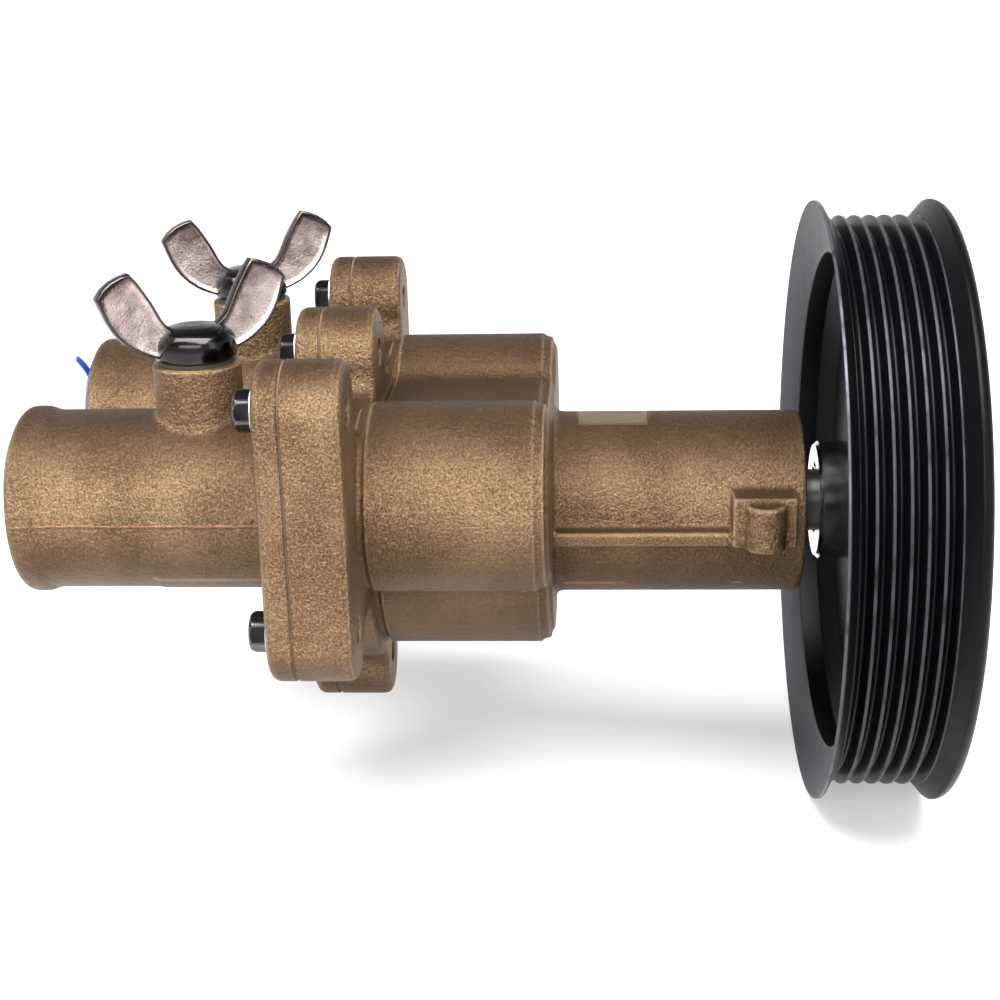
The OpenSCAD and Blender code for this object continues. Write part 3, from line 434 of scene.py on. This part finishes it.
def satin_nickel():
    """The wings' faces: frosted, with painted light near the dome and painted shade towards the
    tips.
    """
    g = Graph("satin_nickel")
    frost = g.noise(0.45, 2, 0.7)
    smear = g.noise(5, 3)
    height = (g.z - plug_foot / MM) / 20
    # Painted light and shade: the faces go from pale at the plug's foot to dark higher up.
    tint = g.blend("ddcfc9", "7b6b68", height + (smear - 0.5) * 1.6)
    tint = g.blend(tint, "6d605d", frost.below(0.42, 0.08) * 0.25)
    return g.finish(
        {
            "Base Color": tint,
            "Roughness": 0.3 + (frost - 0.5) * 0.25,
            "Metallic": 1.0,
            "Normal": g.bump(frost * 0.14 + smear * 0.4),
        },
    )


def turned_steel():
    g = Graph("turned_steel")
    radius = (g.y * g.y + g.z * g.z).root()
    rings = (radius * 22).sine()
    smear = g.noise(2.5, 3)
    return g.finish(
        {
            "Base Color": g.blend("c9cacc", "e9e9ea", smear),
            "Roughness": 0.14 + (smear - 0.5) * 0.15,
            "Metallic": 1.0,
            "Normal": g.bump(rings * 0.0015 + g.noise(0.3, 2) * 0.002),
        },
    )


finishes["black_enamel"] = enamel()
finishes["satin_nickel"] = satin_nickel()
finishes["turned_steel"] = turned_steel()
print("enamel and turned steel made")

# %% [markdown]
# ## Which solid takes which finish
#
# Most solids already have the right shape, so they stay and only take a finish. The names of the
# solids are sorted by what they are made of.

# %% Give every solid its finish
wearers = {
    "gasket_paper": ["cover_gasket"],
    "black_steel": ["cover_bolts", "pulley_bolt", "shaft_circlip", "housing_circlip"],
    "zinc_steel": ["bolt_washers", "pulley_washer", "impeller_key", "pulley_key"],
    "dark_nickel": ["wing_plug_front", "wing_plug_back"],
    "seal_rubber": ["plug_seal_front", "plug_seal_back", "oil_seal"],
    "black_rubber": ["impeller", "seal_bellows", "seat_cup", "slinger"],
    "teal_plastic": ["port_cap_front"],
    "blue_plastic": ["port_cap_back"],
    "brass": ["wear_plate", "impeller_insert", "inboard_cage", "outboard_cage"],
    "bright_steel": [
        "inboard_inner_ring", "inboard_outer_ring", "inboard_balls", "outboard_inner_ring",
        "outboard_outer_ring", "outboard_balls", "bearing_spacer", "seal_spring",
    ],
    "dark_steel": ["drive_shaft"],
    "turned_steel": ["pulley_hub"],
    "pressed_steel": ["seal_retainer", "seal_holder", "inboard_shields", "outboard_shields"],
    "carbon": ["seal_face"],
    "ceramic": ["seal_seat"],
    "black_enamel": ["pulley", "pulley_web"],
}


def wear_finish(thing, material):
    thing.data.materials.clear()
    thing.data.materials.append(material)


for finish_name, names in wearers.items():
    for name in names:
        wear_finish(nodes[name], finishes[finish_name])
wear_finish(nodes["end_cover"], cover_bronze)
wear_finish(nodes["pump_body"], body_bronze)
bare = sorted(set(nodes) - {n for names in wearers.values() for n in names})
print("without a finish from the table", bare)

# %% [markdown]
# ## Castings with soft corners
#
# Sand can't hold a sharp corner: inside corners fill with metal and outer edges come out round.
# Hand-made bevels would need every edge picked. Instead the solid is turned into an even skin of
# small faces, and then each point that sits in a hollow moves out a little and each that sits on an
# edge moves in, over and over. The hollows get more rounds, because a mould maker fills them.

# %% Fill the hollows and ease the edges of a skin
def eased(mesh, fill, ease, keep):
    """Moves the points of a mesh: fill rounds in the hollows, ease rounds on the edges."""
    count = len(mesh.vertices)
    co = np.empty(count * 3)
    mesh.vertices.foreach_get("co", co)
    co = co.reshape(-1, 3)
    held = keep(co / MM)
    edges = np.empty(len(mesh.edges) * 2, np.int64)
    mesh.edges.foreach_get("vertices", edges)
    a, b = edges.reshape(-1, 2).T
    degree = np.bincount(np.concatenate([a, b]), minlength=count)[:, None]
    for k in range(max(fill, ease)):
        total = np.zeros_like(co)
        for axis in range(3):
            total[:, axis] = np.bincount(a, co[b, axis], count) + np.bincount(b, co[a, axis], count)
        pull = total / degree - co
        normal = np.empty(count * 3)
        mesh.vertices.foreach_get("normal", normal)
        normal = normal.reshape(-1, 3)
        rise = (pull * normal).sum(1)
        take = np.where(rise > 0, k < fill, k < ease) & ~held
        co = co + 0.5 * pull * take[:, None]
        mesh.vertices.foreach_set("co", co.ravel())
        mesh.update()
    return mesh


def soft_casting(node, material, voxel, fill, ease, keep):
    """An even, eased skin of a solid that stands for it. The voxel is in millimetres."""
    source = nodes[node]
    draft = bpy.data.objects.new("draft", source.data.copy())
    bpy.context.scene.collection.objects.link(draft)
    b = bmesh.new()
    b.from_mesh(draft.data)
    bmesh.ops.remove_doubles(b, verts=b.verts, dist=0.001 * MM)
    b.to_mesh(draft.data)
    b.free()
    remesh = draft.modifiers.new("even_skin", "REMESH")
    remesh.mode = "VOXEL"
    remesh.voxel_size = voxel * MM
    graph = bpy.context.evaluated_depsgraph_get()
    mesh = bpy.data.meshes.new_from_object(draft.evaluated_get(graph))
    bpy.data.objects.remove(draft)
    eased(mesh, fill, ease, keep)
    mesh.shade_smooth()
    piece = bpy.data.objects.new("cast_" + node, mesh)
    bpy.context.scene.collection.objects.link(piece)
    wear_finish(piece, material)
    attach(piece, source["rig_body"])
    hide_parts(node)
    print(piece.name, "points", len(mesh.vertices))
    return piece


def joint_face(co):
    """Points that stay sharp: beside the joint of cover and body, and at the housing's cut end."""
    beside = (co[:, 0] > x_cover_1 / MM - 0.35) & (co[:, 0] < x_flange_0 / MM + 0.35)
    return beside | (co[:, 0] > body_high.x / MM - 0.5)


voxel = 0.42
cover = soft_casting("end_cover", cover_bronze, voxel, 22, 3, joint_face)
body = soft_casting("pump_body", body_bronze, voxel, 16, 4, joint_face)

# %% [markdown]
# ## Turned shapes
#
# Plug heads, bolt shanks, caps and the pulley's rim are round, so each is a profile spun about an
# axis. A profile is a list of (radius, height) corners. Real corners are never quite sharp, and the
# small round on them is what catches the light, so a helper rounds the corners before the spin.

# %% Round the corners of a profile and spin it
def rounded(corners, radius, steps=4):
    """The corners with a small arc in place of each inner one. A corner may name its radius."""
    points = [Vector(c[:2]) for c in corners]
    out = [points[0]]
    for k in range(1, len(points) - 1):
        before, here, after = points[k - 1], points[k], points[k + 1]
        reach = corners[k][2] if len(corners[k]) > 2 else radius
        reach = min(reach, (before - here).length * 0.45, (after - here).length * 0.45)
        start = here + (before - here).normalized() * reach
        end = here + (after - here).normalized() * reach
        for i in range(steps + 1):
            t = i / steps
            out.append(start * (1 - t) ** 2 + here * 2 * t * (1 - t) + end * t * t)
    return out + [points[-1]]


def bands(rows, count):
    """The faces between rows of count points each, where every row closes into a loop."""
    return [
        (a + k, a + (k + 1) % count, a + count + (k + 1) % count, a + count + k)
        for a in range(0, (rows - 1) * count, count) for k in range(count)
    ]


def spun(profile, at, along, steps=96, sharp=40):
    """A mesh in metres from a profile in millimetres, about a line through at, along "x" or "z".

    A profile that ends where it starts is a ring and stays open in the middle.
    """
    rings = []
    for radius, height in profile:
        for k in range(steps):
            a = math.tau * k / steps
            side, up = radius * math.cos(a), radius * math.sin(a)
            rings.append((height, side, up) if along == "x" else (side, up, height))
    faces = bands(len(profile), steps)
    if Vector(profile[0]) != Vector(profile[-1]):
        faces.append(tuple(range(steps)))
        faces.append(tuple(range((len(profile) - 1) * steps, len(profile) * steps)))
    mesh = bpy.data.meshes.new("spun")
    mesh.from_pydata([Vector(p) * MM + Vector(at) for p in rings], [], faces)
    return tidy(mesh, sharp)


def tidy(mesh, sharp=40):
    """Joins doubled points, turns all faces outwards and keeps only real corners sharp."""
    b = bmesh.new()
    b.from_mesh(mesh)
    bmesh.ops.remove_doubles(b, verts=b.verts, dist=0.002 * MM)
    bmesh.ops.recalc_face_normals(b, faces=b.faces)
    b.to_mesh(mesh)
    b.free()
    mesh.shade_smooth()
    mesh.set_sharp_from_angle(angle=math.radians(sharp))
    return mesh


def one_piece(name, meshes, materials, node):
    """Joins meshes to one object that stands for a solid and rides with it."""
    b = bmesh.new()
    for mesh, index in meshes:
        first = len(b.faces)
        b.from_mesh(mesh)
        b.faces.ensure_lookup_table()
        if index is not None:
            for face in b.faces[first:]:
                face.material_index = index
    joined = bpy.data.meshes.new(name)
    b.to_mesh(joined)
    b.free()
    piece = bpy.data.objects.new(name, joined)
    bpy.context.scene.collection.objects.link(piece)
    for material in materials:
        joined.materials.append(finishes[material])
    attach(piece, nodes[node]["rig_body"])
    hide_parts(node)
    print(name, "faces", len(joined.polygons))
    return piece


# %% [markdown]
# ## Wing plugs
#
# Each drain plug is a nickel plated casting: a low dark dome with two wings that a hand can turn.
# A wing is broad at its tip and runs in a curve down into the dome. Its rim and edges are dark
# nickel like the dome, while the dished faces between them keep the satin skin of the mould, with
# painted light and shade on it. Loops drawn one inside the other, each at its own depth, give rim,
# slope and dish without any boolean.

# %% The wing's outline, dished on both faces
WING_REACH = 22
WING_RISE = 20.6
wing_shares = [
    (1, 0.77), (0.93, 0.86), (0.84, 0.93), (0.74, 0.975), (0.645, 1), (0.57, 0.9), (0.5, 0.78),
    (0.44, 0.67), (0.395, 0.57), (0.355, 0.48), (0.31, 0.41), (0.2, 0.33), (0.2, 0.05),
    (0.41, 0.05), (0.5, 0.085), (0.58, 0.125), (0.65, 0.17), (0.74, 0.245), (0.815, 0.33),
    (0.875, 0.425), (0.92, 0.52), (0.965, 0.65),
]
wing_outline = [Vector((a * WING_REACH, b * WING_RISE)) for a, b in wing_shares]


def drawn_in(points, depth):
    """The outline moved inwards by depth, along the middle of each corner."""
    out = []
    for k, here in enumerate(points):
        before, after = points[k - 1], points[(k + 1) % len(points)]
        run_in, run_out = (here - before).normalized(), (after - here).normalized()
        normal_in, normal_out = (Vector((-r.y, r.x)) for r in (run_in, run_out))
        middle = (normal_in + normal_out).normalized()
        out.append(here + middle * depth / max(middle.dot(normal_in), 0.6))
    return out


def wing_mesh(half=1.45, dish=0.65):
    """One wing: half its thickness and the depth of its dish, in millimetres."""
    loops = [
        (1.9, half - dish), (1.1, half - dish * 0.92), (0.65, half - dish * 0.3), (0.5, half),
        (0.25, half), (0.06, half - 0.15), (0, half - 0.4), (0, 0),
    ]
    loops += [(inset, -y) for inset, y in reversed(loops[:-1])]
    count = len(wing_outline)
    corners = []
    for inset, y in loops:
        corners += [(p.x * MM, y * MM, p.y * MM) for p in drawn_in(wing_outline, inset)]
    last = len(loops) - 1
    faces = bands(len(loops), count)
    faces += [tuple(range(count)), tuple(range(last * count, len(loops) * count))]
    # The two inner bands of each side and the face that they enclose are the satin dish.
    dish_bands = (0, 1, last - 2, last - 1)
    kinds = [int(row in dish_bands) for row in range(last) for _ in range(count)] + [1, 1]
    mesh = bpy.data.meshes.new("wing")
    mesh.from_pydata(corners, [], faces)
    mesh.polygons.foreach_set("material_index", kinds)
    return tidy(mesh, 60)


print("wing outline points", len(wing_outline))

# %% The plugs
def wing_plug(side, turn_degrees):
    """A plug from its thread, drawn as six rings, up to its dome, with two wings across it."""
    y = side * port_y
    dome = [(0, -8.6), (6.2, -8.6)]
    for k in range(6):
        dome += [(6.2, -8.4 + k * 1.5), (7, -7.65 + k * 1.5)]
    dome += [
        (6.6, 0), (8.6, 0), (9.15, 0.6), (9.15, 3.2), (8.9, 4.6), (8.1, 5.9), (6.6, 6.8),
        (4.6, 7.3), (2.3, 7.55), (0, 7.6),
    ]
    at = Vector((x_boss, y, plug_foot))
    meshes = [(spun(rounded(dome, 0.5, 3), at, "z", 72, 70), 0)]
    for half_turn in (0, 180):
        wing = wing_mesh()
        turn = Matrix.Rotation(math.radians(turn_degrees + half_turn), 4, "Z")
        wing.transform(Matrix.Translation(at) @ turn)
        meshes.append((wing, None))
    name = "wing_plug_front" if side < 0 else "wing_plug_back"
    piece = one_piece("dressed_" + name, meshes, ["dark_nickel", "satin_nickel"], name)
    return piece


wing_plug(-1, 34)
wing_plug(1, 24)

# %% [markdown]
# ## Bolts
#
# A bolt's hexagon is cut from round bar, so its corners are turned away at the top and the edge of
# each flat is a curve. A radius that is the smaller of the hexagon's and the turning's, ring by
# ring, draws that curve by itself.

# %% Six hexagon heads with turned corners
HEAD_WIDTH = 8.2
HEAD_HEIGHT = 4
BOLT_TURN = 19
BOLT_SHANK = [(0, 0), (3, 0), (3, 18), (2.4, 18.6), (0, 18.6)]
ear_places = [(-56, 39.4), (0, 38), (56, 39.4), (56, -11), (0, -40), (-56, -11)]
washer_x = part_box("bolt_washers")[0].x


def hexagon_head(width, height, turn):
    """A head from its washer up: heights, each with the turning's radius as a share of a corner."""
    from_top = [
        (1.1, 0.985), (0.8, 0.96), (0.5, 0.925), (0.2, 0.88), (0, 0.83), (0, 0.5), (0.15, 0.46),
        (0.15, 0),
    ]
    levels = [(0, 1), (0.25, 0.985)] + [(height - down, share) for down, share in from_top]
    steps = 72
    corner = width / 2 / math.cos(math.radians(30))
    points = []
    for level, share in levels:
        for k in range(steps):
            a = math.tau * k / steps
            slant = (math.degrees(a) + 30) % 60 - 30
            flat = width / 2 / math.cos(math.radians(30 - abs(slant)))
            r = min(flat, corner * share)
            b = a + math.radians(turn)
            points.append((-level, r * math.cos(b), r * math.sin(b)))
    faces = bands(len(levels), steps) + [tuple(range(steps))]
    mesh = bpy.data.meshes.new("head")
    mesh.from_pydata([Vector(p) * MM for p in points], [], faces)
    return tidy(mesh, 25)


bolt_meshes = []
for y, z in ear_places:
    at = Vector((washer_x, y * MM, z * MM))
    head = hexagon_head(HEAD_WIDTH, HEAD_HEIGHT, BOLT_TURN)
    head.transform(Matrix.Translation(at))
    bolt_meshes += [(head, 0), (spun(BOLT_SHANK, at, "x", 32), 0)]
one_piece("dressed_cover_bolts", bolt_meshes, ["black_steel"], "cover_bolts")

# %% [markdown]
# ## Shipping caps
#
# Soft plastic caps keep dirt out of the hose stubs until the pump is fitted: a teal one in front
# and a blue one behind. They are thin, pushed in by hand and sit a little askew, top out, and each
# has a narrow pull tab.

# %% The two caps
CAP_LEAN = 2
TAB_START = 15
TAB_LENGTH = 7.3
TAB_HALF_WIDTH = 1.2
TAB_HALF_DEPTH = 0.2


def pull_tab(lean):
    """A strip that starts on the cap's face, narrows towards its end and bends out by lean."""
    rows = 9
    corners = []
    for k in range(rows):
        t = k / (rows - 1)
        reach = TAB_START + TAB_LENGTH * t
        out = -0.5 - TAB_LENGTH * math.tan(math.radians(lean)) * t * t
        width = TAB_HALF_WIDTH * (1 - 0.35 * t ** 4)
        for y, x in ((-1, -1), (1, -1), (1, 1), (-1, 1)):
            corners.append(((out + x * TAB_HALF_DEPTH) * MM, y * width * MM, reach * MM))
    faces = bands(rows, 4) + [(0, 1, 2, 3), tuple(range(4 * rows - 4, 4 * rows))]
    mesh = bpy.data.meshes.new("tab")
    mesh.from_pydata(corners, [], faces)
    return tidy(mesh, 50)


def port_cap(side, finish, tab_turn, tab_lean):
    """A cup in the mouth of a stub, with its tab turned about the cup's axis."""
    at = Vector((x_mouth, side * port_y, port_z))
    cup = [
        (0, -0.3), (12, -0.3), (14, -0.6), (17.3, -0.6), (17.9, -0.3), (17.9, 0.2), (17.4, 0.3),
        (16.5, 0.4), (16.4, 11.6), (16, 12), (15.4, 12), (15.3, 0.7), (0, 0.7),
    ]
    tab = pull_tab(tab_lean)
    tab.transform(Matrix.Translation(at) @ Matrix.Rotation(math.radians(tab_turn), 4, "X"))
    meshes = [(spun(rounded(cup, 0.3, 3), at, "x", 72, 50), 0), (tab, 0)]
    name = "port_cap_front" if side < 0 else "port_cap_back"
    lean = Matrix.Translation(at) @ Matrix.Rotation(math.radians(-CAP_LEAN), 4, "Y")
    lean = lean @ Matrix.Translation(-at)
    for mesh, index in meshes:
        mesh.transform(lean)
    piece = one_piece("dressed_" + name, meshes, [finish], name)
    return piece


port_cap(-1, "teal_plastic", -110, 15)
port_cap(1, "blue_plastic", 29, 15)

# %% [markdown]
# ## The pulley
#
# The belt runs in six grooves between two rims. The pump side rim is a thin sharp lip on a long
# bevel, and the outer rim flares in a curve. The web and the hub stay as the solids have them. The
# profile is spun in many steps so that the long highlights on the ribs stay even.

# %% Spin the pulley's rim
GROOVE_FLANK = math.radians(20)
FLARE = 3.6
EDGE_ROUND = 2.6

slope = GROOVE_DEPTH * math.tan(GROOVE_FLANK)
groove_floor = RIB_R - GROOVE_DEPTH
rim = [
    (BORE_R, WIDTH - 0.2), (BORE_R, 4.1), (RIM_R - 0.3, 0.05), (RIM_R, 0.15), (RIM_R, 0.9),
    (RIB_R, GROOVE_START),
]
for k in range(GROOVES):
    start = GROOVE_START + k * GROOVE_PITCH
    top, end = start + RIB_LAND / 2, start + GROOVE_PITCH - RIB_LAND / 2
    rim += [(RIB_R, top), (groove_floor, top + slope), (groove_floor, end - slope), (RIB_R, end)]
rim.append((RIB_R, BELT_END + 0.3, 0.3))
for k in range(1, 8):
    across = math.cos(math.radians(90 * k / 8))
    rim.append((RIM_R - FLARE * across, BELT_END + (WIDTH - BELT_END) * 0.55 * (1 - across)))
for k in range(7):
    a = math.radians(90 * k / 6)
    out, along = EDGE_ROUND * math.cos(a), EDGE_ROUND * math.sin(a)
    rim.append((RIM_R - EDGE_ROUND + out, WIDTH - EDGE_ROUND + along))
rim.append((BORE_R + 0.2, WIDTH))
rim.append((BORE_R, WIDTH - 0.2))
at = (pulley_low.x, 0, 0)
steps = 288
rim_mesh = spun(rounded(rim, 0.22, 2), at, "x", steps, 50)
one_piece("dressed_pulley", [(rim_mesh, 0)], ["black_enamel"], "pulley")

# %% [markdown]
# ## Floor and light
#
# The pump lies on a pale table that is lit from below, as product photographs often are, so its
# shadow is soft and pale. The surround is white near the ground and dim above, and large soft
# panels give the metal its highlights.

# %% The floor
FLOOR_HALF = 14.0
floor_corners = [
    (x * FLOOR_HALF, y * FLOOR_HALF, floor_z) for x, y in ((-1, -1), (1, -1), (1, 1), (-1, 1))
]
floor_mesh = bpy.data.meshes.new("floor")
floor_mesh.from_pydata(floor_corners, [], [(0, 1, 2, 3)])
floor = bpy.data.objects.new("floor", floor_mesh)
bpy.context.scene.collection.objects.link(floor)
floor_paint = Graph("floor_paint")
far = (floor_paint.x * floor_paint.x + floor_paint.y * floor_paint.y).root().above(900, 700)
wear_finish(floor, floor_paint.finish(
    {
        "Base Color": floor_paint.blend("b4b4b4", "bababa", floor_paint.noise(90)),
        "Emission Color": floor_paint.blend("a8a8a8", "ffffff", far),
    },
    {"Roughness": 0.9, "Emission Strength": 1.0},
))

# %% The surround and the panels
world = bpy.data.worlds.new("surround")
world.use_nodes = True
sky = world.node_tree
up = sky.nodes.new("ShaderNodeSeparateXYZ")
fall = sky.nodes.new("ShaderNodeMapRange")
shade = sky.nodes.new("ShaderNodeMix")
shade.data_type = "RGBA"
# White turns dim between these two heights, where 0 is the horizon and 1 is straight up.
for socket, height in ((1, 0.18), (2, 0.5)):
    fall.inputs[socket].default_value = height
shade.inputs[6].default_value = (1, 1, 1, 1)
shade.inputs[7].default_value = (0.2, 0.2, 0.2, 1)
around = sky.nodes.new("ShaderNodeTexCoord")
sky.links.new(around.outputs["Generated"], up.inputs[0])
sky.links.new(up.outputs[2], fall.inputs[0])
sky.links.new(fall.outputs[0], shade.inputs[0])
sky.links.new(shade.outputs[2], sky.nodes["Background"].inputs[0])
bpy.context.scene.world = world
PUMP_MIDDLE = Vector((-0.03, 0, 0))


def panel(name, at, size, power):
    """A soft lamp at a place in metres that points at the pump."""
    data = bpy.data.lights.new(name, "AREA")
    data.shape = "RECTANGLE"
    data.size, data.size_y = size
    data.energy = power
    light = bpy.data.objects.new(name, data)
    light.location = at
    light.rotation_euler = (PUMP_MIDDLE - Vector(at)).to_track_quat("-Z", "Y").to_euler()
    bpy.context.scene.collection.objects.link(light)


panel("top_panel", (-0.1, -0.28, 0.85), (1.4, 0.6), 48)
panel("front_panel", (-0.15, -1.0, 0.5), (1.2, 0.4), 12)
panel("side_panel", (0.75, -0.5, 0.4), (0.3, 0.7), 2)
bpy.context.scene.view_settings.view_transform = "Standard"
print("lights placed")
